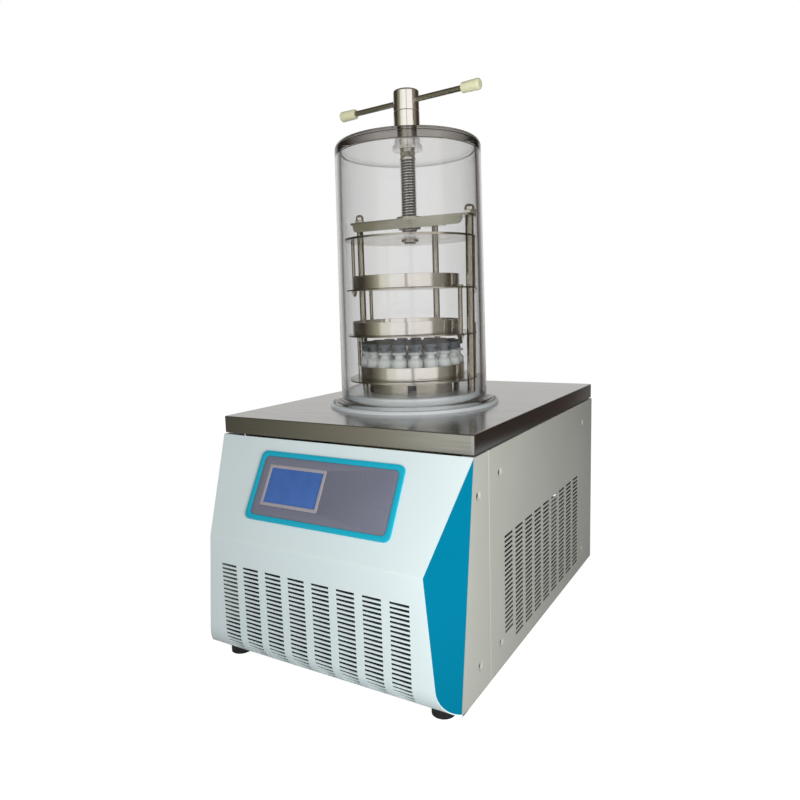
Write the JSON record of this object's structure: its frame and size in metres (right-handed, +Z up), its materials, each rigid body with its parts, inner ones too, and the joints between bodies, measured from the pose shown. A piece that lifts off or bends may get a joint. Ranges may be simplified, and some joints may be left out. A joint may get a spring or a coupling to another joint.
{
  "type": "benchtop freeze dryer",
  "caption": "Benchtop freeze dryer: refrigerated cabinet with a sloping control face and slotted panels, under a clear jar holding a stoppering rack of shelves, trays and vials.",
  "frame": {"origin": "on the floor, under the middle of the bounding box", "axes": "+Z up, -Y the front with the controls, +X to the viewer's right"},
  "size_m": [0.4, 0.6206, 0.8102],
  "materials": {
    "deck_steel": "polished dark stainless sheet",
    "front_paint": "satin pale blue-grey powder coat",
    "side_paint": "satin warm grey powder coat",
    "accent_paint": "satin teal paint",
    "black_steel": "black enamel",
    "zinc_steel": "zinc-plated sheet",
    "stainless": "fine turned stainless",
    "polished_steel": "polished stainless",
    "satin_disc": "satin sheet",
    "black_rubber": "matt moulded rubber",
    "pale_rubber": "translucent silicone",
    "stopper_rubber": "matt butyl rubber",
    "foam": "rigid foam",
    "cyan_plastic": "satin moulded plastic",
    "grey_plastic": "matt membrane",
    "dark_plastic": "matt moulded plastic",
    "cream_plastic": "smooth moulded plastic",
    "lcd": "backlit blue display",
    "circuit": "solder-masked board",
    "acrylic": "clear cast acrylic",
    "vial_glass": "clear moulded glass",
    "copper": "drawn copper tube",
    "brass": "turned brass"
  },
  "bodies": {
    "cabinet": {"deck": "deck_steel", "front_shroud": "front_paint", "cheek_left": "accent_paint", "cheek_right": "accent_paint", "corner_strip_left": "side_paint", "corner_strip_right": "side_paint", "side_panel_left": "side_paint", "side_panel_right": "side_paint", "rear_panel": "side_paint", "base_pan": "zinc_steel", "feet": "black_rubber", "panel_screws": "zinc_steel", "control_frame": "cyan_plastic", "control_fascia": "grey_plastic", "screen_bezel": "dark_plastic", "screen": "lcd", "control_board": "circuit", "trap_vessel": "stainless", "seat_ring": "polished_steel", "evaporator_sleeve": "copper", "trap_insulation": "foam", "baffle": "satin_disc", "gasket": "pale_rubber", "compressor": "black_steel", "condenser": "satin_disc", "fan_shroud": "zinc_steel", "fan_motor": "black_steel", "refrigerant_lines": "copper", "power_inlet": "dark_plastic", "vacuum_port": "stainless", "drain_valve": "brass", "rack_ring": "stainless", "columns": "polished_steel", "acorn_nuts": "polished_steel", "bridge": "stainless", "bridge_nut": "stainless", "guide_rods_lower": "polished_steel", "shelf_lower": "stainless", "tray_lower": "polished_steel", "vials": "vial_glass"},
    "jar": {"jar": "acrylic", "gland_sleeve": "polished_steel", "gland_nut": "stainless", "gland_seal": "black_rubber"},
    "handle": {"handle_head": "polished_steel", "handle_bar": "polished_steel", "handle_knobs": "cream_plastic", "drive_shaft": "stainless"},
    "press": {"press_plate": "stainless", "hanger_rods_upper": "polished_steel"},
    "screw": {"press_screw": "stainless"},
    "upper_tier": {"shelf_upper": "stainless", "tray_upper": "polished_steel", "hanger_rods_middle": "polished_steel"},
    "middle_tier": {"shelf_middle": "stainless", "tray_middle": "polished_steel"},
    "stopper_set": {"stoppers": "stopper_rubber"},
    "fan": {"fan_rotor": "dark_plastic"},
    "rocker": {"power_rocker": "dark_plastic"},
    "lever": {"drain_lever": "zinc_steel"}
  },
  "joints": [
    {"name": "jar_lift", "type": "slide", "parent": "cabinet", "child": "jar", "axis": [0, 0, 1], "range_m": [0, 0.42]},
    {"name": "handle_turn", "type": "hinge", "parent": "jar", "child": "handle", "pos_m": [0, -0.02245, 0.7951], "axis": [0, 0, -1], "range_deg": [0, 1620]},
    {"name": "press_travel", "type": "slide", "parent": "cabinet", "child": "press", "axis": [0, 0, -1], "range_m": [0, 0.018]},
    {"name": "screw_spin", "type": "hinge", "parent": "press", "child": "screw", "pos_m": [0, -0.02245, 0.6], "axis": [0, 0, -1], "range_deg": [0, 1620]},
    {"name": "upper_play", "type": "slide", "parent": "press", "child": "upper_tier", "axis": [0, 0, 1], "range_m": [0, 0.006]},
    {"name": "middle_play", "type": "slide", "parent": "upper_tier", "child": "middle_tier", "axis": [0, 0, 1], "range_m": [0, 0.006]},
    {"name": "stopper_press", "type": "slide", "parent": "cabinet", "child": "stopper_set", "axis": [0, 0, -1], "range_m": [0, 0.007]},
    {"name": "fan_spin", "type": "hinge", "parent": "cabinet", "child": "fan", "pos_m": [0, -0.20525, 0.0795], "axis": [0, 1, 0], "continuous": true},
    {"name": "rocker_tip", "type": "hinge", "parent": "cabinet", "child": "rocker", "pos_m": [-0.12, 0.28025, 0.1], "axis": [1, 0, 0], "range_deg": [-14, 0]},
    {"name": "lever_turn", "type": "hinge", "parent": "cabinet", "child": "lever", "pos_m": [0, 0.29525, 0.072], "axis": [0, 0, 1], "range_deg": [0, 90]}
  ],
  "couplings": [
    {"joint": "press_travel", "follows": "handle_turn", "m_per_rad": 0.00063662},
    {"joint": "screw_spin", "follows": "handle_turn", "ratio": 1},
    {"joint": "stopper_press", "follows": "handle_turn", "m_per_rad": 0.00024757}
  ]
}
